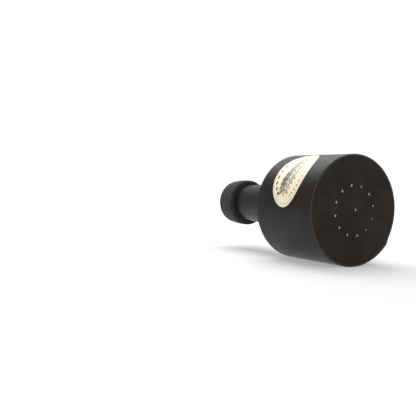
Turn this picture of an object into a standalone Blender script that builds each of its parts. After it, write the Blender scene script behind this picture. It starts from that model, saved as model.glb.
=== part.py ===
"""Trumpet practice mute, modelled as its separate pieces.

A straight can of rolled fibre sheet is closed in front by a drilled wooden end plate and behind by a
moulded shoulder. A tapered neck stands in the shoulder and carries a soft ring that seals it in the bell.
Backing rings carry the plate and the shoulder, and felt inside the can takes up the sound.

Units are metres and +Z is up. The mute lies on its side: its axis runs along +Y, from the end plate to the
mouth of the neck, and the origin is on the ground under the middle of its length.
Every piece is drawn standing on the end plate, with z measured along the axis from the plate's face, and
the empty mute_axis lays the whole mute down. Angles round the axis are counted from the top of the lying
mute, growing towards -X.
"""
import math

import bmesh
import bpy
from mathutils import Matrix, Vector

# Fits between pieces
GLUE_GAP = 0.0003

# Can: one fibre sheet rolled into a tube, its end lapped over its start
CAN_RADIUS = 0.0390
CAN_LENGTH = 0.0610
CAN_WALL = 0.0016
CAN_EDGE = 0.0004
CAN_SIDES = 64
SEAM_ANGLE = math.radians(-127)
SEAM_STEP = 0.0012
SEAM_FADE = math.radians(30)
SEAM_FLANK = math.radians(7)

# End plate with one vent in the middle and a ring of vents round it
PLATE_THICKNESS = 0.0032
VENT_COUNT = 12
VENT_CIRCLE_RADIUS = 0.0175
VENT_FIRST_ANGLE = math.radians(11)
VENT_BORE_RADIUS = 0.00065
VENT_MOUTH_RADIUS = 0.0008
VENT_MOUTH_DEPTH = 0.0004
VENT_SIDES = 12
MIDDLE_VENT = (0.0009, 0.0006)

# Rings inside the can that the plate and the shoulder are glued to
BACKING_WIDTH = 0.0060
BACKING_DEPTH = 0.0040
INNER_SIDES = 48

# Felt inside the can
FELT_PAD_THICKNESS = 0.0060
FELT_LINING_THICKNESS = 0.0040

# Shoulder: a skirt inside the can, a steep cone and a short collar round the neck
SHOULDER_WALL = 0.0020
SHOULDER_SKIRT = 0.0042
SHOULDER_TOP = 0.0750
SHOULDER_COLLAR = 0.0040
SHOULDER_BEND = 0.0015

# Neck: a straight cone, its wide end inside the can
MUTE_LENGTH = 0.1520
NECK_TAIL = 0.0540
NECK_WALL = 0.0013
NECK_RADIUS_AT_SHOULDER = 0.0180
NECK_RADIUS_AT_MOUTH = 0.0130
NECK_SIDES = 48

# Collar glued on the neck, against the shoulder
COLLAR_HEIGHT = 0.0050
COLLAR_THICKNESS = 0.0026
COLLAR_EDGE = 0.0010

# Seal ring of cellular rubber round the neck
SEAL_START = 0.1280
SEAL_END = 0.1480
SEAL_THICKNESS = 0.0046
SEAL_EDGE = 0.0018

# Oval label wrapped on the can
LABEL_LENGTH = 0.0520
LABEL_WIDTH = 0.0320
LABEL_THICKNESS = 0.0003
LABEL_ANGLE = math.radians(50.5)
LABEL_PLACE = 0.0315
LABEL_TILT = math.radians(5.5)
LABEL_RINGS = 4
LABEL_POINTS = 40

# Derived places
CAN_BORE = CAN_RADIUS - CAN_WALL
FILL_RADIUS = CAN_BORE - GLUE_GAP
FRONT_BACKING_START = PLATE_THICKNESS + GLUE_GAP
FRONT_BACKING_END = FRONT_BACKING_START + BACKING_DEPTH
SKIRT_START = CAN_LENGTH - SHOULDER_SKIRT
REAR_BACKING_END = SKIRT_START - GLUE_GAP
REAR_BACKING_START = REAR_BACKING_END - BACKING_DEPTH
AXIS_HEIGHT = CAN_RADIUS * math.cos(math.pi / CAN_SIDES)

# Finishes: colour, roughness
FINISHES = {
    "black_fibre": ((0.030, 0.028, 0.026), 0.42),
    "black_painted_wood": ((0.025, 0.023, 0.021), 0.62),
    "raw_wood": ((0.52, 0.40, 0.27), 0.75),
    "moulded_fibre": ((0.028, 0.026, 0.024), 0.50),
    "grey_felt": ((0.22, 0.21, 0.20), 0.95),
    "cellular_rubber": ((0.018, 0.018, 0.018), 0.85),
    "cream_paper": ((0.84, 0.75, 0.56), 0.45),
}


def neck_radius(z):
    """Outer radius of the neck's cone at height z."""
    share = (z - SHOULDER_TOP) / (MUTE_LENGTH - SHOULDER_TOP)
    return NECK_RADIUS_AT_SHOULDER + share * (NECK_RADIUS_AT_MOUTH - NECK_RADIUS_AT_SHOULDER)


def round_axis(radius, angle, z):
    """Point at a radius and an angle round the axis, in the standing position."""
    return Vector((-radius * math.sin(angle), -radius * math.cos(angle), z))


def rounded(corners, steps=3):
    """Outline through corners (radius, z, rounding), each rounded corner drawn as an arc."""
    outline = []
    count = len(corners)
    for index, (radius, z, rounding) in enumerate(corners):
        corner = Vector((radius, z))
        if rounding == 0:
            outline.append(corner)
            continue
        before = (Vector(corners[index - 1][:2]) - corner).normalized()
        after = (Vector(corners[(index + 1) % count][:2]) - corner).normalized()
        half = before.angle(after) / 2
        centre = corner + (before + after).normalized() * rounding / math.sin(half)
        start = corner + before * rounding / math.tan(half) - centre
        end = corner + after * rounding / math.tan(half) - centre
        for step in range(steps + 1):
            share = step / steps
            outline.append(centre + (start * (1 - share) + end * share).normalized() * rounding)
    return outline


def finish_material(name):
    """Principled material of the named finish."""
    material = bpy.data.materials.get(name)
    if material is None:
        colour, roughness = FINISHES[name]
        material = bpy.data.materials.new(name)
        material.use_nodes = True
        shader = material.node_tree.nodes["Principled BSDF"]
        shader.inputs["Base Color"].default_value = (*colour, 1)
        shader.inputs["Roughness"].default_value = roughness
        shader.inputs["Metallic"].default_value = 0
    return material


def piece(name, bm, finish, axis):
    """Object of the mesh, shaded smooth between sharp edges and laid down with the mute."""
    bmesh.ops.recalc_face_normals(bm, faces=bm.faces)
    mesh = bpy.data.meshes.new(name)
    bm.to_mesh(mesh)
    bm.free()
    mesh.shade_smooth()
    mesh.set_sharp_from_angle(angle=math.radians(30))
    mesh.materials.append(finish_material(finish))
    obj = bpy.data.objects.new(name, mesh)
    bpy.context.collection.objects.link(obj)
    obj.parent = axis
    return obj


def spun(outline, sides):
    """Mesh of a closed outline (radius, z) spun once round the axis, a flat side towards the ground."""
    bm = bmesh.new()
    verts = [bm.verts.new((point[0], 0, point[1])) for point in outline]
    edges = [bm.edges.new((verts[i - 1], verts[i])) for i in range(len(verts))]
    bmesh.ops.spin(bm, geom=verts + edges, cent=(0, 0, 0), axis=(0, 0, 1), angle=2 * math.pi,
                   steps=sides, use_merge=True)
    bm.transform(Matrix.Rotation(math.pi / sides, 4, "Z"))
    return bm


def disc(radius, low, high, sides):
    """Mesh of a round plate between two heights."""
    bm = bmesh.new()
    bmesh.ops.create_cone(bm, cap_ends=True, segments=sides, radius1=radius, radius2=radius,
                          depth=high - low, matrix=Matrix.Translation((0, 0, (low + high) / 2)))
    bm.transform(Matrix.Rotation(math.pi / sides, 4, "Z"))
    return bm


def seam_rise(angle):
    """Extra radius of the can where the sheet's end laps over: fades behind the end, drops ahead of it."""
    ahead = angle - SEAM_ANGLE
    reach = SEAM_FLANK if ahead > 0 else SEAM_FADE
    return SEAM_STEP * max(0.0, 1 - abs(ahead) / reach)


def make_can_shell(axis):
    """Rolled tube whose outer skin rises at the lap seam."""
    bm = spun(rounded([(CAN_BORE, 0, 0), (CAN_RADIUS, 0, CAN_EDGE),
                       (CAN_RADIUS, CAN_LENGTH, CAN_EDGE), (CAN_BORE, CAN_LENGTH, 0)]), CAN_SIDES)
    skin = CAN_BORE + CAN_WALL / 2
    for vert in bm.verts:
        radius = vert.co.xy.length
        if radius > skin:
            rise = seam_rise(math.atan2(-vert.co.x, -vert.co.y))
            vert.co.xy *= (radius + rise) / radius
    piece("can_shell", bm, "black_fibre", axis)


def vent_places():
    """Centres of all vents on the plate, the middle one first."""
    yield Vector((MIDDLE_VENT[0], -MIDDLE_VENT[1], 0))
    for number in range(VENT_COUNT):
        yield round_axis(VENT_CIRCLE_RADIUS, VENT_FIRST_ANGLE + number * 2 * math.pi / VENT_COUNT, 0)


def vent_cutter():
    """Drills of all vents in one mesh: a straight bore that widens to a small countersink at the face."""
    spare = PLATE_THICKNESS / 4
    slope = (VENT_MOUTH_RADIUS - VENT_BORE_RADIUS) / VENT_MOUTH_DEPTH
    stations = [(-spare, VENT_MOUTH_RADIUS + slope * spare), (VENT_MOUTH_DEPTH, VENT_BORE_RADIUS),
                (PLATE_THICKNESS + spare, VENT_BORE_RADIUS)]
    bm = bmesh.new()
    for place in vent_places():
        rings = []
        for z, radius in stations:
            ring = bmesh.ops.create_circle(bm, segments=VENT_SIDES, radius=radius,
                                           matrix=Matrix.Translation(place + Vector((0, 0, z))))
            rings.append(ring["verts"])
        for lower, upper in zip(rings, rings[1:]):
            for i in range(VENT_SIDES):
                bm.faces.new((lower[i - 1], lower[i], upper[i], upper[i - 1]))
        bm.faces.new(rings[0])
        bm.faces.new(rings[-1])
    return bm


def make_end_plate(axis):
    """Round plate set into the can's front end, flush with its edge and drilled with the vents."""
    plate = piece("end_plate", disc(FILL_RADIUS, 0, PLATE_THICKNESS, CAN_SIDES), "black_painted_wood", axis)
    drills = piece("vent_drills", vent_cutter(), "raw_wood", axis)
    drills.hide_render = True
    drills.display_type = "WIRE"
    cut = plate.modifiers.new("vents", "BOOLEAN")
    cut.operation = "DIFFERENCE"
    cut.solver = "EXACT"
    cut.object = drills


def make_backing_rings(axis):
    """Two wooden rings inside the can, one behind the plate and one in front of the shoulder."""
    for name, low, high in (("front_backing_ring", FRONT_BACKING_START, FRONT_BACKING_END),
                            ("rear_backing_ring", REAR_BACKING_START, REAR_BACKING_END)):
        inner = FILL_RADIUS - BACKING_WIDTH
        bm = spun(rounded([(inner, low, 0), (FILL_RADIUS, low, 0), (FILL_RADIUS, high, 0), (inner, high, 0)]),
                  INNER_SIDES)
        piece(name, bm, "raw_wood", axis)


def make_felts(axis):
    """Felt disc behind the vents and felt sleeve along the can's wall."""
    low = PLATE_THICKNESS + GLUE_GAP
    pad = disc(FILL_RADIUS - BACKING_WIDTH - GLUE_GAP, low, low + FELT_PAD_THICKNESS, INNER_SIDES)
    piece("felt_pad", pad, "grey_felt", axis)
    low = FRONT_BACKING_END + GLUE_GAP
    high = REAR_BACKING_START - GLUE_GAP
    inner = FILL_RADIUS - FELT_LINING_THICKNESS
    lining = spun(rounded([(inner, low, 0), (FILL_RADIUS, low, 0), (FILL_RADIUS, high, 0), (inner, high, 0)]),
                  INNER_SIDES)
    piece("felt_lining", lining, "grey_felt", axis)


def make_shoulder(axis):
    """Moulded cone with a skirt inside the can and a collar that fits the neck's taper."""
    collar_top = SHOULDER_TOP + SHOULDER_COLLAR
    bore_foot = neck_radius(SHOULDER_TOP) + GLUE_GAP
    bore_top = neck_radius(collar_top) + GLUE_GAP
    foot = bore_foot + SHOULDER_WALL
    rise = (SHOULDER_TOP - CAN_LENGTH) / (FILL_RADIUS - foot)
    upright_wall = SHOULDER_WALL * math.hypot(1, rise)
    bore_start = CAN_LENGTH + (FILL_RADIUS - bore_foot) * rise - upright_wall
    skirt_bore = FILL_RADIUS - SHOULDER_WALL
    skirt_top = CAN_LENGTH + SHOULDER_WALL * rise - upright_wall
    bm = spun(rounded([
        (FILL_RADIUS, SKIRT_START, 0),
        (FILL_RADIUS, CAN_LENGTH, SHOULDER_BEND),
        (foot, SHOULDER_TOP, SHOULDER_BEND),
        (bore_top + SHOULDER_WALL, collar_top, 0),
        (bore_top, collar_top, 0),
        (neck_radius(bore_start) + GLUE_GAP, bore_start, 0),
        (skirt_bore, skirt_top, SHOULDER_BEND),
        (skirt_bore, SKIRT_START, 0),
    ]), CAN_SIDES)
    piece("shoulder", bm, "moulded_fibre", axis)


def make_neck(axis):
    """Tapered tube from inside the can to its open mouth."""
    bm = spun(rounded([
        (neck_radius(NECK_TAIL) - NECK_WALL, NECK_TAIL, 0),
        (neck_radius(NECK_TAIL), NECK_TAIL, 0),
        (neck_radius(MUTE_LENGTH), MUTE_LENGTH, NECK_WALL / 3),
        (neck_radius(MUTE_LENGTH) - NECK_WALL, MUTE_LENGTH, NECK_WALL / 3),
    ]), NECK_SIDES)
    piece("neck_tube", bm, "black_fibre", axis)


def sleeve_on_neck(low, high, thickness, edge, crown=0.0):
    """Mesh of a ring that follows the neck's taper, with rounded outer edges and a crowned outside."""
    inner_low = neck_radius(low) + GLUE_GAP
    inner_high = neck_radius(high) + GLUE_GAP
    middle = (low + high) / 2
    return spun(rounded([
        (inner_low, low, 0),
        (inner_low + thickness - crown, low, edge),
        (neck_radius(middle) + GLUE_GAP + thickness, middle, 0),
        (inner_high + thickness - crown, high, edge),
        (inner_high, high, 0),
    ]), NECK_SIDES)


def make_neck_fittings(axis):
    """Collar against the shoulder and seal ring near the mouth."""
    collar_start = SHOULDER_TOP + SHOULDER_COLLAR + GLUE_GAP
    collar = sleeve_on_neck(collar_start, collar_start + COLLAR_HEIGHT, COLLAR_THICKNESS, COLLAR_EDGE)
    piece("neck_collar", collar, "black_painted_wood", axis)
    seal = sleeve_on_neck(SEAL_START, SEAL_END, SEAL_THICKNESS, SEAL_EDGE, crown=SEAL_THICKNESS / 10)
    piece("seal_ring", seal, "cellular_rubber", axis)


def on_can(across, along, radius):
    """Point at a distance round the can and along it, counted from the label's middle."""
    return round_axis(radius, LABEL_ANGLE + across / CAN_RADIUS, LABEL_PLACE + along)


def make_label(axis):
    """Oval paper label bent round the can, its upper end turned a little to the rear."""
    bm = bmesh.new()
    layers = []
    for radius in (CAN_RADIUS + GLUE_GAP, CAN_RADIUS + GLUE_GAP + LABEL_THICKNESS):
        middle = bm.verts.new(on_can(0, 0, radius))
        rings = []
        for ring in range(1, LABEL_RINGS + 1):
            share = ring / LABEL_RINGS
            points = []
            for step in range(LABEL_POINTS):
                turn = 2 * math.pi * step / LABEL_POINTS
                long = share * LABEL_LENGTH / 2 * math.cos(turn)
                short = share * LABEL_WIDTH / 2 * math.sin(turn)
                across = long * math.cos(LABEL_TILT) + short * math.sin(LABEL_TILT)
                along = short * math.cos(LABEL_TILT) - long * math.sin(LABEL_TILT)
                points.append(bm.verts.new(on_can(across, along, radius)))
            rings.append(points)
        for i in range(LABEL_POINTS):
            bm.faces.new((middle, rings[0][i - 1], rings[0][i]))
            for inner, outer in zip(rings, rings[1:]):
                bm.faces.new((inner[i - 1], outer[i - 1], outer[i], inner[i]))
        layers.append(rings[-1])
    below, above = layers
    for i in range(LABEL_POINTS):
        bm.faces.new((below[i - 1], below[i], above[i], above[i - 1]))
    piece("label", bm, "cream_paper", axis)


def main():
    """Clear the scene, then make every piece on the mute's axis."""
    for obj in list(bpy.data.objects):
        bpy.data.objects.remove(obj, do_unlink=True)
    axis = bpy.data.objects.new("mute_axis", None)
    bpy.context.collection.objects.link(axis)
    axis.location = (0, -MUTE_LENGTH / 2, AXIS_HEIGHT)
    axis.rotation_euler = (-math.pi / 2, 0, 0)
    for make in (make_can_shell, make_end_plate, make_backing_rings, make_felts, make_shoulder, make_neck,
                 make_neck_fittings, make_label):
        make(axis)
    bpy.context.view_layer.update()


main()
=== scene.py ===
"""Looks of the practice mute: its finished surfaces, their materials, the light and the camera.

The mute lies on its side along +Y. A place on it is given by a radius, a turn round the axis
counted from the top towards -X, and a depth behind the face of the end plate. Sizes are in
metres and turns in radians.
"""
import math

import bmesh
import bpy
import numpy as np
from mathutils import Matrix, Vector


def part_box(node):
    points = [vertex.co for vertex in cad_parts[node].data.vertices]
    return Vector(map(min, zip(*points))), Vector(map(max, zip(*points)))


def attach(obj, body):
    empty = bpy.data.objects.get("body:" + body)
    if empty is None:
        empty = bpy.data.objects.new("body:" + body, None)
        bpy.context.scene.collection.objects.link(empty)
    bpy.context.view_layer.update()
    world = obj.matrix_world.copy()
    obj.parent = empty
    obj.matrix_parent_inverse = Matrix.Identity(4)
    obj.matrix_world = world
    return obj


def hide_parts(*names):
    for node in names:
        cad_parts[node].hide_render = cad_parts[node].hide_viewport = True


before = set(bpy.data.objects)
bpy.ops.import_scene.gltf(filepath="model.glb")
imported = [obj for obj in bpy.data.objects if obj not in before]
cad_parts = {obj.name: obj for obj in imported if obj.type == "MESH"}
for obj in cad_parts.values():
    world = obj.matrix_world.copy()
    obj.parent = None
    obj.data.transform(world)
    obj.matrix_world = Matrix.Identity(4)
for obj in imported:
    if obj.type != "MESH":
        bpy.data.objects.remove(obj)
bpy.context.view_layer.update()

MM = 0.001
# Points closer than this are one point where the grids of a piece meet
WELD = 0.002 * MM
# Edges bent by more than this stay sharp
SHARP_ANGLE = math.radians(35)
# Fineness: sides of a turned piece, longest run along its outline, pieces of a rounded corner
RING_SIDES = 192
CAN_SIDES = 360
NECK_SIDES = 240
INNER_SIDES = 128
PAD_SIDES = 96
SHELL_RUN = 2 * MM
RING_RUN = 1 * MM
INNER_RUN = 3 * MM
ARC_STEPS = 8

# Places read from the frame
SHELL_LOW, SHELL_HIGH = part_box("can_shell")
FACE_Y = SHELL_LOW[1]
CAN_RADIUS = (SHELL_HIGH[2] - SHELL_LOW[2]) / 2
AXIS_Z = (SHELL_HIGH[2] + SHELL_LOW[2]) / 2


def depths(node):
    """First and last depth of a CAD node: its lowest and highest y, less that of the face."""
    low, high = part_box(node)
    return low[1] - FACE_Y, high[1] - FACE_Y


CAN_LENGTH = depths("can_shell")[1]
SKIRT_START, SHOULDER_END = depths("shoulder")
NECK_TAIL, MUTE_LENGTH = depths("neck_tube")

# Can and its lap seam
CAN_WALL = 1.6 * MM
CAN_EDGE = 0.4 * MM
CAN_BORE = CAN_RADIUS - CAN_WALL
SEAM_TURN = math.radians(-127)
SEAM_STEP = 1.2 * MM
SEAM_FADE = math.radians(30)
SEAM_FLANK = math.radians(7)

# End plate and vents
PLATE_THICKNESS = 3.2 * MM
VENT_COUNT = 12
VENT_CIRCLE = 17.5 * MM
VENT_FIRST = math.radians(11)
VENT_BORE = 0.65 * MM
VENT_MOUTH = 0.8 * MM
VENT_MOUTH_DEPTH = 0.4 * MM
MIDDLE_VENT = (0.9 * MM, 0.6 * MM)
# Painted lip of each vent, and the depth at which the wood is bare
VENT_LIP = 0.12 * MM
VENT_BARE = 1.2 * VENT_LIP
# The plate is tiled round its vents: one tile a vent between two circles, and a disc inside
TILE_INNER = 10 * MM
TILE_OUTER = 25 * MM
TILE_STEPS = 12
TILE_HALF = math.pi / VENT_COUNT
PATCH_RINGS = 3
# Share of bare wood: less towards +X, where paint has run in, and least near one vent
BARE_MEAN = 0.86
BARE_SWING = 0.14
CLOGGED_VENT = 7.6
CLOGGED_SPREAD = 1.0
CLOGGED_SHARE = 0.45

# Shoulder and neck
SHOULDER_WALL = 2.0 * MM
SHOULDER_TOP = 75.0 * MM
SHOULDER_BEND = 1.5 * MM
SHOULDER_LIP = 0.5 * MM
NECK_AT_SHOULDER = 18.0 * MM
NECK_AT_MOUTH = 13.0 * MM
NECK_WALL = 1.3 * MM
NECK_EDGE = NECK_WALL / 3
NECK_LAP = 0.35 * MM
COLLAR_THICKNESS = 2.9 * MM
COLLAR_EDGE = 1.0 * MM
SEAL_THICKNESS = 4.9 * MM
SEAL_EDGE = 1.8 * MM
SEAL_CROWN = 0.46 * MM
# A crown is rounded with this many times its height
CROWN_BEND = 4

# Pieces inside the can
LINING_THICKNESS = 4.0 * MM
BACKING_WIDTH = 6.0 * MM
FELT_EDGE = 1.0 * MM
PAD_EDGE = 0.8 * MM
PLYWOOD_EDGE = 0.3 * MM

# Label
LABEL_LENGTH = 52.0 * MM
LABEL_WIDTH = 32.0 * MM
LABEL_THICKNESS = 0.14 * MM
LABEL_LIFT = 0.03 * MM
LABEL_TURN = math.radians(50.5)
LABEL_PLACE = 31.5 * MM
LABEL_TILT = math.radians(5.5)
LABEL_RINGS = 120
LABEL_SPOKES = 680
LABEL_BACK_RINGS = 10
# The cut edge stands out past the print by this share, and its upper corner is this far down
LABEL_RIM = 1.0008
LABEL_CORNER = 0.05 * MM

# Ornament printed on the label
INK_SOFT = 0.12 * MM
KEYLINE_RING = 0.92
KEYLINE_HALF = 0.13 * MM
KEYLINE_INK = 0.5
STEM_REACH = 0.70
STEM_HALF = 0.38 * MM
STEM_WAVE = 1.5 * MM
LEAF_PAIRS = 4
LEAF_SPACING = 4.1 * MM
LEAF_ANGLE = math.radians(48)
LEAF_LENGTH = 9.2 * MM
LEAF_WIDTH = 3.5 * MM
LEAF_SHRINK = 0.08
VEIN_LENGTH = 0.9 * LEAF_LENGTH
VEIN_WIDTH = 0.45 * MM
VEIN_CLEARING = 0.9
RULING_PITCH = 1.0 * MM
RULING_MEAN = 0.66
RULING_SWING = 0.34
# Rows of lozenges: side, ring as a share of the oval, count, half length and half width
LOZENGE_ROWS = ((1, 0.77, 24, 1.7 * MM, 1.15 * MM), (-1, 0.79, 34, 0.75 * MM, 0.75 * MM))
LOZENGE_REACH = math.radians(64)
LOZENGE_CRISP = 5
# Round the oval is about this share of the circle on its length
OVAL_SHARE = 0.8

# Camera, placed from the middle of the end plate's face
CAMERA_OFFSET = (-0.31098, -0.32696, 0.01832)
CAMERA_RIGHT = (0.85976, -0.51002, 0.02620)
CAMERA_FORWARD = (0.51069, 0.85863, -0.04411)
FOCAL_PIXELS = 642
PICTURE_PIXELS = 416
SENSOR = 36.0
# The lens was measured between pixel centres, half a pixel from their corners
PIXEL_CENTRE = 0.5

# Floor: its reach, its own light near the object and away from it, and where that rises
FLOOR_REACH = 6.0
FLOOR_LIGHT_NEAR = 0.36
FLOOR_LIGHT_FAR = 0.85
FLOOR_RISE_START = 0.20
FLOOR_RISE_END = 1.0

# Light: the world's level on the object, and each lamp's name, place, size and watts
WORLD_LEVEL = 0.36
LAMP_COLOUR = (0.95, 0.97, 1.0)
LAMPS = (("top_softbox", (0.12, 0.43, 0.88), 0.9, 10.8),
         ("front_softbox", (-0.45, -1.08, 0.85), 0.8, 5.8))


def neck_radius(depth):
    """Outer radius of the neck: a straight line in depth, from the shoulder's top to the mouth."""
    share = (depth - SHOULDER_TOP) / (MUTE_LENGTH - SHOULDER_TOP)
    return NECK_AT_SHOULDER + share * (NECK_AT_MOUTH - NECK_AT_SHOULDER)


def spoke_at(turn):
    """Unit vector (x, z) from the axis at a turn: minus its sine, and its cosine."""
    return np.stack([-np.sin(turn), np.cos(turn)], axis=-1)


def on_axis(radius, turn, depth):
    """Points round the axis: x = -r sin(turn), y = face + depth, z = axis + r cos(turn)."""
    return np.stack(np.broadcast_arrays(-radius * np.sin(turn), FACE_Y + depth,
                                        AXIS_Z + radius * np.cos(turn)), axis=-1)


def rounded(corners):
    """Outline through corners (radius, depth, rounding), each rounded one an arc.

    The arc's centre is on the corner's bisector, rounding / sin(half angle) away. Its points are
    spokes of the rounding's length, spread between those to the tangent points on both sides,
    which are rounding / tan(half angle) from the corner.
    """
    points = []
    for index, (radius, depth, rounding) in enumerate(corners):
        corner = np.array((radius, depth))
        if rounding == 0:
            points.append(corner[None])
            continue
        before = np.array(corners[index - 1][:2]) - corner
        after = np.array(corners[(index + 1) % len(corners)][:2]) - corner
        before /= np.linalg.norm(before)
        after /= np.linalg.norm(after)
        half = math.acos(np.clip(before @ after, -1, 1)) / 2
        middle = (before + after) / np.linalg.norm(before + after)
        centre = corner + middle * rounding / math.sin(half)
        share = np.linspace(0, 1, ARC_STEPS + 1)[:, None]
        tangent = rounding / math.tan(half)
        spokes = corner + tangent * (before * (1 - share) + after * share) - centre
        points.append(centre + rounding * spokes / np.linalg.norm(spokes, axis=1)[:, None])
    return np.concatenate(points)


def divided(outline, step):
    """The same closed outline, every run cut into equal lengths of at most one step."""
    runs = np.roll(outline, -1, axis=0) - outline
    counts = np.maximum(1, np.ceil(np.linalg.norm(runs, axis=1) / step)).astype(int)
    number = np.arange(counts.sum()) - np.repeat(np.cumsum(counts) - counts, counts)
    share = (number / np.repeat(counts, counts))[:, None]
    return np.repeat(outline, counts, axis=0) + np.repeat(runs, counts, axis=0) * share


def quads_of(rows, columns, wrap_rows, wrap_columns, first=0):
    """Vertex numbers of a grid's quads, row * columns + column, closed round where it wraps."""
    i = np.arange(rows if wrap_rows else rows - 1)[:, None]
    j = np.arange(columns if wrap_columns else columns - 1)[None, :]
    i2, j2 = (i + 1) % rows, (j + 1) % columns
    corners = [i * columns + j, i * columns + j2, i2 * columns + j2, i2 * columns + j]
    shape = (i.size, j.size)
    return first + np.stack([np.broadcast_to(c, shape) for c in corners], axis=-1).reshape(-1, 4)


def finished(name, points, faces, material, values=None, weld=0.0):
    """Mesh object of points and faces turned outwards, with named values at its points."""
    mesh = bpy.data.meshes.new(name)
    mesh.from_pydata(points, [], faces)
    for title, value in (values or {}).items():
        attribute = mesh.attributes.new(title, "FLOAT", "POINT")
        attribute.data.foreach_set("value", value.astype(np.float32))
    bm = bmesh.new()
    bm.from_mesh(mesh)
    if weld:
        bmesh.ops.remove_doubles(bm, verts=bm.verts, dist=weld)
    bmesh.ops.recalc_face_normals(bm, faces=bm.faces)
    bm.to_mesh(mesh)
    bm.free()
    mesh.shade_smooth()
    mesh.set_sharp_from_angle(angle=SHARP_ANGLE)
    mesh.materials.append(material)
    obj = bpy.data.objects.new(name, mesh)
    bpy.context.collection.objects.link(obj)
    return obj


def turned(name, outline, material, sides=RING_SIDES, rise=None, marks=None, solid=False):
    """Closed outline carried once round the axis, or one from axis to axis for a solid piece.

    rise(turn, radius, depth) adds to the radius, and marks(radius, depth) gives the named values
    at the points.
    """
    turn = 2 * np.pi * np.arange(sides)[:, None] / sides
    radius = np.repeat(outline[None, :, 0], sides, axis=0)
    depth = np.repeat(outline[None, :, 1], sides, axis=0)
    values = {}
    if marks is not None:
        values = {title: value.ravel() for title, value in marks(radius, depth).items()}
    if rise is not None:
        radius = radius + rise(turn, radius, depth)
    points = on_axis(radius, turn, depth).reshape(-1, 3)
    quads = quads_of(sides, len(outline), True, not solid)
    return finished(name, points, quads, material, values, weld=WELD if solid else 0.0)


def linear(hex_colour):
    """Linear RGBA of an sRGB hex colour: c / 12.92 if dark, else ((c + .055) / 1.055)^2.4."""
    channels = np.array([int(hex_colour[i:i + 2], 16) for i in (1, 3, 5)]) / 255
    low = channels / 12.92
    high = ((channels + 0.055) / 1.055) ** 2.4
    return (*np.where(channels <= 0.04045, low, high).tolist(), 1.0)


def grey(level):
    """Colour that stands for a plain number on a ramp."""
    return (level, level, level, 1.0)


def scale_for(size):
    """Noise scale whose blobs are about a size in metres: half a cycle to each."""
    return 0.5 / size


def feed(tree, node, **inputs):
    """Sets a node's inputs: a value on the socket itself, or a link from another node's output.

    A name has _ for a space, and i6 is socket number 6.
    """
    for key, value in inputs.items():
        number = key[1:] if key[0] == "i" else ""
        socket = node.inputs[int(number) if number.isdigit() else key.replace("_", " ")]
        if isinstance(value, bpy.types.NodeSocket):
            tree.links.new(value, socket)
        else:
            socket.default_value = value


def add(tree, kind, output=0, settings=None, stops=(), **inputs):
    """Adds one node with its settings, ramp stops and inputs, and gives the output asked for."""
    node = tree.nodes.new(kind)
    for key, value in (settings or {}).items():
        setattr(node, key, value)
    if stops:
        elements = node.color_ramp.elements
        while len(elements) < len(stops):
            elements.new(0.5)
        for element, (position, colour) in zip(elements, stops):
            element.position = position
            element.color = colour
    feed(tree, node, **inputs)
    return node.outputs[output]


def new_material(name):
    """Node material, returned with its tree and its shader."""
    material = bpy.data.materials.new(name)
    material.use_nodes = True
    tree = material.node_tree
    return material, tree, tree.nodes["Principled BSDF"]


# A Mix node's setting for colours, and the number of its colour output
COLOURS = {"data_type": "RGBA"}
MIXED = 2


def make_lacquer():
    """Black lacquer sprayed on rolled hard fibre: an even orange-peel grain and a soft sheen.

    Handling has worn the rims smoother; they are also drawn a lighter grey there, a painted
    highlight on their rounded edges.
    """
    material, tree, shader = new_material("satin_black_lacquer_on_fibre")
    place = add(tree, "ShaderNodeTexCoord", "Object")
    # The grain is really about 0.3 mm across, too fine to show, and is drawn at 0.8 mm
    grain = add(tree, "ShaderNodeTexNoise", "Fac", Vector=place, Scale=scale_for(0.8 * MM),
                Detail=4)
    cloud = add(tree, "ShaderNodeTexNoise", "Fac", Vector=place, Scale=scale_for(9 * MM))
    wave = add(tree, "ShaderNodeTexNoise", "Fac", Vector=place, Scale=scale_for(5 * MM))
    rim_wear_and_highlight = add(tree, "ShaderNodeAttribute", "Fac", {"attribute_name": "rim_wear_and_highlight"})
    tint = add(tree, "ShaderNodeValToRGB", i0=cloud,
               stops=[(0.3, linear("#191512")), (0.7, linear("#201b17"))])
    # The rims' grey #45423e is a painted highlight along their rounded edges; their lower roughness
    # below is wear.
    colour = add(tree, "ShaderNodeMix", MIXED, COLOURS, i0=rim_wear_and_highlight, i6=tint, i7=linear("#45423e"))
    satin = add(tree, "ShaderNodeValToRGB", i0=grain,
                stops=[(0.3, grey(0.34)), (0.7, grey(0.50))])
    roughness = add(tree, "ShaderNodeMix", MIXED, COLOURS, i0=rim_wear_and_highlight, i6=satin, i7=grey(0.30))
    fine = add(tree, "ShaderNodeBump", Height=grain, Strength=0.8, Distance=0.05 * MM)
    wavy = add(tree, "ShaderNodeBump", Height=wave, Strength=0.25, Distance=0.12 * MM,
               Normal=fine)
    feed(tree, shader, Base_Color=colour, Roughness=roughness, IOR=1.45, Specular_IOR_Level=0.10,
         Normal=wavy)
    return material


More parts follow.
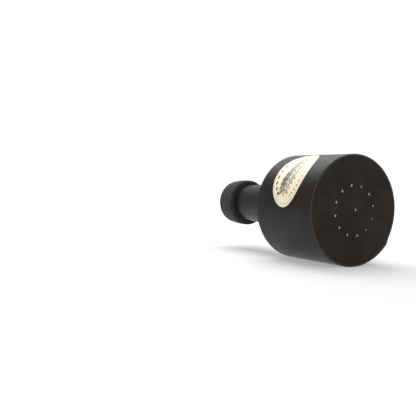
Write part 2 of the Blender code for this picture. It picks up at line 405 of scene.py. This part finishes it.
def make_plate_paint():
    """Matt black paint on plywood, smoothed flat: a faint cloudy mottle, bare where drilled."""
    material, tree, shader = new_material("matt_black_paint_on_plywood")
    place = add(tree, "ShaderNodeTexCoord", "Object")
    cloud = add(tree, "ShaderNodeTexNoise", "Fac", Vector=place, Scale=scale_for(7 * MM),
                Detail=4, Distortion=0.6)
    grain = add(tree, "ShaderNodeTexNoise", "Fac", Vector=place, Scale=scale_for(0.35 * MM),
                Detail=3)
    paint = add(tree, "ShaderNodeValToRGB", i0=cloud,
                stops=[(0.30, linear("#25211d")), (0.55, linear("#2c2723")),
                       (0.75, linear("#312c28"))])
    # The bare birch in the vents is its own cream lifted to near white, paler than the plywood
    # pieces: the lift is a painted highlight for light that the narrow vent walls don't catch.
    wood = add(tree, "ShaderNodeValToRGB", i0=grain,
               stops=[(0.3, linear("#efe2d6")), (0.7, linear("#fffaf2"))])
    bare = add(tree, "ShaderNodeAttribute", "Fac", {"attribute_name": "bare"})
    colour = add(tree, "ShaderNodeMix", MIXED, COLOURS, i0=bare, i6=paint, i7=wood)
    matt = add(tree, "ShaderNodeValToRGB", i0=grain,
               stops=[(0.3, grey(0.58)), (0.7, grey(0.74))])
    fine = add(tree, "ShaderNodeBump", Height=grain, Strength=0.5, Distance=0.03 * MM)
    feed(tree, shader, Base_Color=colour, Roughness=matt, Specular_IOR_Level=0.05, Normal=fine)
    return material


def make_moulded_fibre():
    """Black lacquer on moulded hard fibre: slightly pebbled, duller than the rolled sheet."""
    material, tree, shader = new_material("black_lacquer_on_moulded_fibre")
    place = add(tree, "ShaderNodeTexCoord", "Object")
    pebble = add(tree, "ShaderNodeTexNoise", "Fac", Vector=place, Scale=scale_for(1.1 * MM),
                 Detail=3)
    tint = add(tree, "ShaderNodeValToRGB", i0=pebble,
               stops=[(0.3, linear("#232120")), (0.7, linear("#2b2826"))])
    dull = add(tree, "ShaderNodeValToRGB", i0=pebble,
               stops=[(0.3, grey(0.44)), (0.7, grey(0.58))])
    skin = add(tree, "ShaderNodeBump", Height=pebble, Strength=0.6, Distance=0.06 * MM)
    feed(tree, shader, Base_Color=tint, Roughness=dull, Specular_IOR_Level=0.10, Normal=skin)
    return material


def make_cellular_rubber():
    """Closed-cell rubber cut from sheet: dull black, with fine open cells on the cut skin."""
    material, tree, shader = new_material("black_cellular_rubber")
    place = add(tree, "ShaderNodeTexCoord", "Object")
    # The cells are really about 0.3 mm apart, too fine to show, and are drawn at 0.75 mm
    cells = add(tree, "ShaderNodeTexVoronoi", "Distance", Vector=place, Scale=1 / (0.75 * MM))
    pits = add(tree, "ShaderNodeValToRGB", i0=cells,
               stops=[(0.05, grey(0.0)), (0.45, grey(1.0))])
    # The cells' middles are drawn darker: painted shade in the pits that the bump below digs.
    tint = add(tree, "ShaderNodeValToRGB", i0=cells,
               stops=[(0.05, linear("#0f0f0f")), (0.5, linear("#262626"))])
    skin = add(tree, "ShaderNodeBump", Height=pits, Strength=0.8, Distance=0.12 * MM)
    feed(tree, shader, Base_Color=tint, Roughness=0.85, Specular_IOR_Level=0.35, Normal=skin)
    return material


def make_felt():
    """Pressed wool felt: matted grey fibres with a faint fuzz and no gloss."""
    material, tree, shader = new_material("grey_pressed_wool_felt")
    place = add(tree, "ShaderNodeTexCoord", "Object")
    fibres = add(tree, "ShaderNodeTexNoise", "Fac", Vector=place, Scale=scale_for(0.6 * MM),
                 Detail=5, Distortion=1.5)
    tint = add(tree, "ShaderNodeValToRGB", i0=fibres,
               stops=[(0.3, linear("#6d6a66")), (0.7, linear("#8d8a85"))])
    fuzz = add(tree, "ShaderNodeBump", Height=fibres, Strength=0.8, Distance=0.2 * MM)
    feed(tree, shader, Base_Color=tint, Roughness=0.95, Specular_IOR_Level=0.15, Sheen_Weight=0.3,
         Normal=fuzz)
    return material


def make_plywood():
    """Bare birch plywood: pale brown, with fine grain drawn out along X."""
    material, tree, shader = new_material("bare_birch_plywood")
    place = add(tree, "ShaderNodeTexCoord", "Object")
    drawn_out = add(tree, "ShaderNodeMapping", Vector=place, Scale=(0.12, 1, 1))
    grain = add(tree, "ShaderNodeTexNoise", "Fac", Vector=drawn_out, Scale=scale_for(1 * MM),
                Detail=4, Distortion=0.4)
    tint = add(tree, "ShaderNodeValToRGB", i0=grain,
               stops=[(0.3, linear("#b4906a")), (0.7, linear("#d9bd98"))])
    ridges = add(tree, "ShaderNodeBump", Height=grain, Strength=0.4, Distance=0.08 * MM)
    feed(tree, shader, Base_Color=tint, Roughness=0.75, Normal=ridges)
    return material


def make_label_paper():
    """Varnished cream paper with offset ink: smooth with a soft gloss, the ink a brownish black."""
    material, tree, shader = new_material("varnished_cream_label_paper")
    place = add(tree, "ShaderNodeTexCoord", "Object")
    mottle = add(tree, "ShaderNodeTexNoise", "Fac", Vector=place, Scale=scale_for(3 * MM),
                 Detail=3)
    fibres = add(tree, "ShaderNodeTexNoise", "Fac", Vector=place, Scale=scale_for(0.5 * MM))
    ink = add(tree, "ShaderNodeAttribute", "Fac", {"attribute_name": "ink"})
    paper = add(tree, "ShaderNodeValToRGB", i0=mottle,
                stops=[(0.3, linear("#fbe9c4")), (0.7, linear("#fff3d6"))])
    printed = add(tree, "ShaderNodeValToRGB", i0=ink,
                  stops=[(0.0, grey(1.0)), (1.0, linear("#262220"))])
    colour = add(tree, "ShaderNodeMix", MIXED, {**COLOURS, "blend_type": "MULTIPLY"}, i0=1.0,
                 i6=paper, i7=printed)
    fine = add(tree, "ShaderNodeBump", Height=fibres, Strength=0.2, Distance=0.01 * MM)
    feed(tree, shader, Base_Color=colour, Roughness=0.38, Specular_IOR_Level=0.35,
         Coat_Weight=0.15, Coat_Roughness=0.30, Normal=fine)
    return material


def finish_piece(obj, node):
    """Hides the CAD node that a piece stands for, and attaches the piece to the one body it rides
    on.
    """
    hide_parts(node)
    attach(obj, "root")


def seam_rise(turn, height):
    """Rise of a rolled sheet at its lap, by the turn ahead of the seam.

    Behind the seam it grows in a straight line over the fade angle. Ahead of it the share s
    falls over the flank angle as s^2 (3 - 2 s), a smooth step down.
    """
    ahead = (turn - SEAM_TURN + np.pi) % (2 * np.pi) - np.pi
    share = np.where(ahead > 0, 1 - ahead / SEAM_FLANK, 1 + ahead / SEAM_FADE)
    share = np.clip(share, 0, 1)
    return height * np.where(ahead > 0, share * share * (3 - 2 * share), share)


def make_can(lacquer):
    """Rolled can: a straight tube with rounded rims, its outside lifted by the lap's rise."""
    outline = rounded([(CAN_BORE, 0, 0), (CAN_RADIUS, 0, CAN_EDGE),
                       (CAN_RADIUS, CAN_LENGTH, CAN_EDGE), (CAN_BORE, CAN_LENGTH, 0)])
    mid_wall = CAN_BORE + CAN_WALL / 2

    def rise(turn, radius, depth):
        return (radius > mid_wall) * seam_rise(turn, SEAM_STEP)

    # Marks the outside of the can's rounded rims: worn smoother, and painted lighter there as a
    # highlight.
    def marks(radius, depth):
        from_rim = np.minimum(depth, CAN_LENGTH - depth)
        return {"rim_wear_and_highlight": np.clip(1 - from_rim / CAN_EDGE, 0, 1) * (radius > mid_wall)}

    can = turned("can_shell_lacquered", divided(outline, SHELL_RUN), lacquer, CAN_SIDES, rise,
                 marks)
    finish_piece(can, "can_shell")


def tile_edge(turn):
    """Edge (x, z) of the tile about a turn: out along the outer arc, in, back and out again."""
    share = np.arange(TILE_STEPS) / TILE_STEPS
    still = np.ones(TILE_STEPS)
    width = TILE_OUTER - TILE_INNER
    radius = np.concatenate([still * TILE_OUTER, TILE_OUTER - share * width,
                             still * TILE_INNER, TILE_INNER + share * width])
    swing = TILE_HALF * np.concatenate([2 * share - 1, still, 1 - 2 * share, -still])
    return radius[:, None] * spoke_at(turn + swing)


def plate_layer(flat, depth):
    """Points of the end plate's plane at a depth, from flat places (x, z) counted from the axis."""
    return np.stack([flat[..., 0], np.full(flat.shape[:-1], FACE_Y + depth),
                     AXIS_Z + flat[..., 1]], axis=-1)


def make_plate(paint):
    """End plate: two flat layers tiled round the vents, joined by the vents' walls and the rim.

    A tile's rings of points lie on the straight lines from the vent's circle to the tile's edge.
    A vent's wall narrows in a straight line over the mouth's depth, and is straight behind it.
    Bare wood is the mean less a share of x, times 1 - share exp(-d^2), where d is how far the
    vent's number is from the clogged one, in spreads.
    """
    turns = VENT_FIRST + 2 * TILE_HALF * np.arange(VENT_COUNT)
    steps = np.arange(VENT_COUNT * TILE_STEPS) / TILE_STEPS
    ring = spoke_at(VENT_FIRST - TILE_HALF + 2 * TILE_HALF * steps)
    tiles = [(VENT_CIRCLE * spoke_at(turn), tile_edge(turn)) for turn in turns]
    tiles.append((np.array(MIDDLE_VENT), TILE_INNER * ring))
    slope = (VENT_MOUTH - VENT_BORE) / VENT_MOUTH_DEPTH
    # Depth, radius and bareness down a vent's wall
    wall_rows = ((0.0, VENT_MOUTH, 0.0), (VENT_LIP, VENT_MOUTH - VENT_LIP * slope, 0.0),
                 (VENT_BARE, VENT_MOUTH - VENT_BARE * slope, 1.0),
                 (VENT_MOUTH_DEPTH, VENT_BORE, 1.0), (PLATE_THICKNESS, VENT_BORE, 1.0))
    grids = []
    for number, (centre, edge) in enumerate(tiles):
        spoke = (edge - centre) / np.linalg.norm(edge - centre, axis=-1, keepdims=True)
        share = np.linspace(0, 1, PATCH_RINGS + 1)[:, None, None]
        for depth, hole in ((0.0, VENT_MOUTH), (PLATE_THICKNESS, VENT_BORE)):
            flat = (centre + hole * spoke) * (1 - share) + edge * share
            grids.append((plate_layer(flat, depth), 0.0))
        wall = [plate_layer(centre + radius * spoke, depth) for depth, radius, bare in wall_rows]
        clogged = math.exp(-((number - CLOGGED_VENT) / CLOGGED_SPREAD) ** 2)
        wood = BARE_MEAN - BARE_SWING * centre[0] / VENT_CIRCLE
        wood *= 1 - CLOGGED_SHARE * clogged
        bare = wood * np.array([bare for depth, radius, bare in wall_rows])[:, None]
        grids.append((np.stack(wall), bare))
    reach = np.linspace(TILE_OUTER, CAN_BORE, PATCH_RINGS + 1)[:, None, None]
    for depth in (0.0, PLATE_THICKNESS):
        grids.append((plate_layer(reach * ring, depth), 0.0))
    rim = [plate_layer(CAN_BORE * ring, depth) for depth in (0.0, PLATE_THICKNESS)]
    grids.append((np.stack(rim), 0.0))

    points = np.concatenate([grid.reshape(-1, 3) for grid, bare in grids])
    bareness = np.concatenate([np.broadcast_to(bare, grid.shape[:2]).ravel()
                               for grid, bare in grids])
    counts = [grid.shape[0] * grid.shape[1] for grid, bare in grids]
    firsts = np.cumsum([0] + counts[:-1])
    quads = np.concatenate([quads_of(*grid.shape[:2], False, True, first)
                            for (grid, bare), first in zip(grids, firsts)])
    plate = finished("end_plate_painted", points, quads, paint, {"bare": bareness}, weld=WELD)
    finish_piece(plate, "end_plate")


def make_shoulder(fibre):
    """Shoulder: a skirt in the can, a steep cone and a short collar on the neck, bends rounded.

    The inside is the outside's cone moved down the axis until the wall, measured square to the
    cone, has its thickness.
    """
    foot = neck_radius(SHOULDER_TOP) + SHOULDER_WALL
    lip = neck_radius(SHOULDER_END)
    rise = (SHOULDER_TOP - CAN_LENGTH) / (CAN_BORE - foot)
    upright = SHOULDER_WALL * math.hypot(1, rise)
    bore_start = CAN_LENGTH + (CAN_BORE - foot + SHOULDER_WALL) * rise - upright
    skirt_bore = CAN_BORE - SHOULDER_WALL
    skirt_end = CAN_LENGTH + SHOULDER_WALL * rise - upright
    outline = rounded([(CAN_BORE, SKIRT_START, 0), (CAN_BORE, CAN_LENGTH, SHOULDER_BEND),
                       (foot, SHOULDER_TOP, SHOULDER_BEND),
                       (lip + SHOULDER_WALL, SHOULDER_END, SHOULDER_LIP), (lip, SHOULDER_END, 0),
                       (neck_radius(bore_start), bore_start, 0),
                       (skirt_bore, skirt_end, SHOULDER_BEND), (skirt_bore, SKIRT_START, 0)])
    shoulder = turned("shoulder_moulded", divided(outline, SHELL_RUN), fibre)
    finish_piece(shoulder, "shoulder")


def make_neck(lacquer):
    """Neck: a straight cone of rolled sheet, with its own shallow lap past the shoulder."""
    tail = neck_radius(NECK_TAIL)
    outline = rounded([(tail - NECK_WALL, NECK_TAIL, 0), (tail, NECK_TAIL, 0),
                       (NECK_AT_MOUTH, MUTE_LENGTH, NECK_EDGE),
                       (NECK_AT_MOUTH - NECK_WALL, MUTE_LENGTH, NECK_EDGE)])

    def rise(turn, radius, depth):
        outside = radius > neck_radius(depth) - NECK_WALL / 2
        return (outside & (depth > SHOULDER_END)) * seam_rise(turn, NECK_LAP)

    neck = turned("neck_tube_lacquered", divided(outline, SHELL_RUN), lacquer, NECK_SIDES, rise)
    finish_piece(neck, "neck_tube")


def neck_ring(name, node, thickness, edge, crown, material):
    """Ring on the neck: its outside follows the taper, higher in the middle by the crown."""
    start, end = depths(node)
    middle = (start + end) / 2
    outline = rounded([(neck_radius(start), start, 0),
                       (neck_radius(start) + thickness - crown, start, edge),
                       (neck_radius(middle) + thickness, middle, CROWN_BEND * crown),
                       (neck_radius(end) + thickness - crown, end, edge),
                       (neck_radius(end), end, 0)])
    return turned(name, divided(outline, RING_RUN), material)


def make_neck_rings(paint, rubber):
    """Wooden collar against the shoulder, and the crowned rubber seal near the mouth."""
    collar = neck_ring("neck_collar_painted", "neck_collar", COLLAR_THICKNESS, COLLAR_EDGE, 0.0,
                       paint)
    finish_piece(collar, "neck_collar")
    seal = neck_ring("seal_ring_cellular", "seal_ring", SEAL_THICKNESS, SEAL_EDGE, SEAL_CROWN,
                     rubber)
    finish_piece(seal, "seal_ring")


def stroke(distance, half_width):
    """Ink cover of a line: 1 within its half width, falling in a straight line over a soft edge."""
    return np.clip(0.5 + (half_width - np.abs(distance)) / INK_SOFT, 0, 1)


def leaf(across, along, root, angle, length, width):
    """Ink cover of a pointed leaf from its root along its angle.

    At a share s of its length, its half width is width / 2 times sin(pi s).
    """
    x = (across - root[0]) * math.cos(angle) + (along - root[1]) * math.sin(angle)
    y = -(across - root[0]) * math.sin(angle) + (along - root[1]) * math.cos(angle)
    share = x / length
    half_width = width / 2 * np.sin(np.pi * np.clip(share, 0, 1))
    return np.where((share > 0) & (share < 1), stroke(y, half_width), 0)


def ornament(across, along):
    """Generic printed ornament on the oval, as ink cover from 0 to 1.

    A keyline follows the rim. A waved stem, along = wave sin(pi across / half length), carries
    leaves in pairs: solid on the rear side and ruled on the front side. A row of lozenges
    stands behind it and a row of dots before it, each |x| / long + |y| / short < 1.
    """
    half_length, half_width = LABEL_LENGTH / 2, LABEL_WIDTH / 2
    oval = np.hypot(across / half_length, along / half_width)
    turn = np.arctan2(along / LABEL_WIDTH, across / LABEL_LENGTH)
    keyline = KEYLINE_INK * stroke((oval - KEYLINE_RING) * half_width, KEYLINE_HALF)
    wave = STEM_WAVE * np.sin(np.pi * across / half_length)
    stem = (np.abs(across) < STEM_REACH * half_length) * stroke(along - wave, STEM_HALF)
    ink = np.maximum(keyline, stem)
    ruling = RULING_MEAN + RULING_SWING * np.cos(2 * np.pi * (across + along) / RULING_PITCH)
    for number in range(-LEAF_PAIRS, LEAF_PAIRS):
        foot = number * LEAF_SPACING
        root = (foot, STEM_WAVE * math.sin(math.pi * foot / half_length))
        size = 1 - LEAF_SHRINK * abs(number)
        for angle, cover in ((LEAF_ANGLE, 1.0), (-LEAF_ANGLE, ruling)):
            blade = leaf(across, along, root, angle, LEAF_LENGTH * size, LEAF_WIDTH * size)
            vein = leaf(across, along, root, angle, VEIN_LENGTH * size, VEIN_WIDTH)
            ink = np.maximum(ink, np.clip(blade * cover - VEIN_CLEARING * vein, 0, 1))
    for side, ring, count, long, short in LOZENGE_ROWS:
        step = np.pi * OVAL_SHARE * LABEL_LENGTH * ring / count
        from_middle = ((turn * count / (2 * np.pi)) % 1 - 0.5) * step
        from_ring = (oval - ring) * half_width
        lozenge = np.abs(from_middle) / long + np.abs(from_ring) / short
        near_side = np.abs(np.abs(turn) - np.pi / 2) < LOZENGE_REACH
        marks = np.clip((1 - lozenge) * LOZENGE_CRISP, 0, 1)
        ink = np.maximum(ink, (side * turn > 0) * near_side * marks)
    return ink


def make_label(paper):
    """Oval label bent round the can: rings of ellipses, with a turned-down rim and a back.

    A ring's share s and a spoke's turn t give s a cos t and s b sin t on the flat oval. Tilted,
    the first becomes an arc round the can and the second a place along it.
    """
    top = LABEL_LIFT + LABEL_THICKNESS
    front = np.linspace(0, 1, LABEL_RINGS + 1)[1:]
    back = np.linspace(1, 0, LABEL_BACK_RINGS + 2)[1:-1]
    share = np.concatenate([front, [LABEL_RIM, LABEL_RIM], back])[:, None]
    lift = np.concatenate([np.full(LABEL_RINGS, top), [top - LABEL_CORNER, LABEL_LIFT],
                           np.full(LABEL_BACK_RINGS, LABEL_LIFT)])[:, None]
    turn = 2 * np.pi * np.arange(LABEL_SPOKES)[None, :] / LABEL_SPOKES
    long = share * LABEL_LENGTH / 2 * np.cos(turn)
    short = share * LABEL_WIDTH / 2 * np.sin(turn)
    across = long * math.cos(LABEL_TILT) + short * math.sin(LABEL_TILT)
    along = short * math.cos(LABEL_TILT) - long * math.sin(LABEL_TILT)
    skin = on_axis(CAN_RADIUS + lift, LABEL_TURN + across / CAN_RADIUS, LABEL_PLACE + along)
    ends = on_axis(CAN_RADIUS + np.array([top, LABEL_LIFT]), LABEL_TURN, LABEL_PLACE)
    ink = np.concatenate([(ornament(long, short) * (lift >= top)).ravel(),
                          ornament(np.zeros(1), np.zeros(1)), [0.0]])
    rows = len(share)
    spoke = np.arange(LABEL_SPOKES)
    following = (spoke + 1) % LABEL_SPOKES
    last_row = (rows - 1) * LABEL_SPOKES
    front_end, back_end = (np.full(LABEL_SPOKES, rows * LABEL_SPOKES + end) for end in (0, 1))
    front_cap = np.stack([front_end, following, spoke], axis=-1)
    back_cap = np.stack([back_end, last_row + spoke, last_row + following], axis=-1)
    faces = quads_of(rows, LABEL_SPOKES, False, True).tolist()
    faces += front_cap.tolist() + back_cap.tolist()
    label = finished("label_printed", np.concatenate([skin.reshape(-1, 3), ends]), faces, paper,
                     {"ink": ink})
    finish_piece(label, "label")


def make_inner_pieces(felt, plywood):
    """Sleeves and rings against the can's bore, and a pad behind the vents, soft or crisp edged."""
    for node, slot, material, width, edge in (
            ("felt_lining", "grey_felt", felt, LINING_THICKNESS, FELT_EDGE),
            ("front_backing_ring", "raw_wood", plywood, BACKING_WIDTH, PLYWOOD_EDGE),
            ("rear_backing_ring", "raw_wood", plywood, BACKING_WIDTH, PLYWOOD_EDGE)):
        start, end = depths(node)
        inner = CAN_BORE - width
        outline = rounded([(inner, start, edge), (CAN_BORE, start, 0), (CAN_BORE, end, 0),
                           (inner, end, edge)])
        ring = turned(node + "_finished", divided(outline, INNER_RUN), material, INNER_SIDES)
        finish_piece(ring, node)
    low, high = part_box("felt_pad")
    reach = (high[0] - low[0]) / 2
    start, end = depths("felt_pad")
    outline = rounded([(0, start, 0), (reach / 2, start, 0), (reach, start, PAD_EDGE),
                       (reach, end, PAD_EDGE), (reach / 2, end, 0), (0, end, 0)])
    pad = turned("felt_pad_finished", outline, felt, PAD_SIDES, solid=True)
    finish_piece(pad, "felt_pad")


def white_rays(tree):
    """Light Path's outputs, and 1 for the rays that see the white background, else 0.

    These are the camera's own, and those that go on through glass or from a glossy surface.
    """
    rays = add(tree, "ShaderNodeLightPath").node.outputs
    through = add(tree, "ShaderNodeMath", settings={"operation": "MAXIMUM"},
                  i0=rays["Is Camera Ray"], i1=rays["Is Transmission Ray"])
    return rays, add(tree, "ShaderNodeMath", settings={"operation": "MAXIMUM"}, i0=through,
                     i1=rays["Is Glossy Ray"])


def make_stage():
    """Plain pale floor that is white where it is seen and keeps the object's shadow.

    Its own light grows in a straight line with the distance from the object, so that it meets
    the white world without an edge. In gloss it is as light right up to the object.
    """
    corners = FLOOR_REACH * np.array([(-1, -1, 0), (1, -1, 0), (1, 1, 0), (-1, 1, 0)])
    mesh = bpy.data.meshes.new("floor")
    mesh.from_pydata(corners, [], [(0, 1, 2, 3)])
    floor = bpy.data.objects.new("floor", mesh)
    bpy.context.collection.objects.link(floor)
    material, tree, shader = new_material("white_floor")
    rays, seen = white_rays(tree)
    colour = add(tree, "ShaderNodeMix", MIXED, COLOURS, i0=rays["Is Camera Ray"],
                 i6=linear("#f4f4f4"), i7=linear("#c4c4c4"))
    feed(tree, shader, Base_Color=colour, Roughness=1.0, Specular_IOR_Level=0.0)
    place = add(tree, "ShaderNodeTexCoord", "Object")
    away = add(tree, "ShaderNodeVectorMath", "Value", {"operation": "LENGTH"}, i0=place)
    level = add(tree, "ShaderNodeMapRange", Value=away, From_Min=FLOOR_RISE_START,
                From_Max=FLOOR_RISE_END, To_Min=FLOOR_LIGHT_NEAR, To_Max=FLOOR_LIGHT_FAR)
    level = add(tree, "ShaderNodeMapRange", Value=rays["Is Glossy Ray"], To_Min=level,
                To_Max=FLOOR_LIGHT_FAR)
    strength = add(tree, "ShaderNodeMath", settings={"operation": "MULTIPLY"}, i0=seen, i1=level)
    glow = add(tree, "ShaderNodeEmission", Strength=strength)
    both = add(tree, "ShaderNodeAddShader", i0=shader.outputs[0], i1=glow)
    feed(tree, tree.nodes["Material Output"], Surface=both)
    mesh.materials.append(material)


def make_light():
    """World that is white where it is seen and plain where it lights, with two softboxes."""
    world = bpy.data.worlds.new("studio")
    bpy.context.scene.world = world
    world.use_nodes = True
    tree = world.node_tree
    rays, seen = white_rays(tree)
    strength = add(tree, "ShaderNodeMapRange", Value=seen, To_Min=WORLD_LEVEL, To_Max=1.0)
    feed(tree, tree.nodes["Background"], Color=(1, 1, 1, 1), Strength=strength)
    for name, place, size, watts in LAMPS:
        lamp = bpy.data.lights.new(name, "AREA")
        lamp.size = size
        lamp.color = LAMP_COLOUR
        lamp.energy = watts
        obj = bpy.data.objects.new(name, lamp)
        obj.location = place
        aim = Vector((0, 0, AXIS_Z)) - Vector(place)
        obj.rotation_euler = aim.to_track_quat("-Z", "Y").to_euler()
        bpy.context.collection.objects.link(obj)


def make_camera():
    """Camera at the photograph's place, with its slight tilt and roll."""
    data = bpy.data.cameras.new("camera")
    data.sensor_width = SENSOR
    data.lens = SENSOR * FOCAL_PIXELS / PICTURE_PIXELS
    data.shift_x = -PIXEL_CENTRE / PICTURE_PIXELS
    data.shift_y = PIXEL_CENTRE / PICTURE_PIXELS
    data.clip_start = 10 * MM
    camera = bpy.data.objects.new("camera", data)
    bpy.context.collection.objects.link(camera)
    right = Vector(CAMERA_RIGHT).normalized()
    back = -Vector(CAMERA_FORWARD).normalized()
    up = back.cross(right).normalized()
    turn = Matrix((right, up, back)).transposed().to_4x4()
    place = Vector((0, FACE_Y, AXIS_Z)) + Vector(CAMERA_OFFSET)
    camera.matrix_world = Matrix.Translation(place) @ turn
    bpy.context.scene.camera = camera


make_camera()
lacquer = make_lacquer()
plate_paint = make_plate_paint()
make_can(lacquer)
make_plate(plate_paint)
make_shoulder(make_moulded_fibre())
make_neck(lacquer)
make_neck_rings(plate_paint, make_cellular_rubber())
make_label(make_label_paper())
make_inner_pieces(make_felt(), make_plywood())
make_stage()
make_light()
bpy.context.scene.view_settings.view_transform = "Standard"
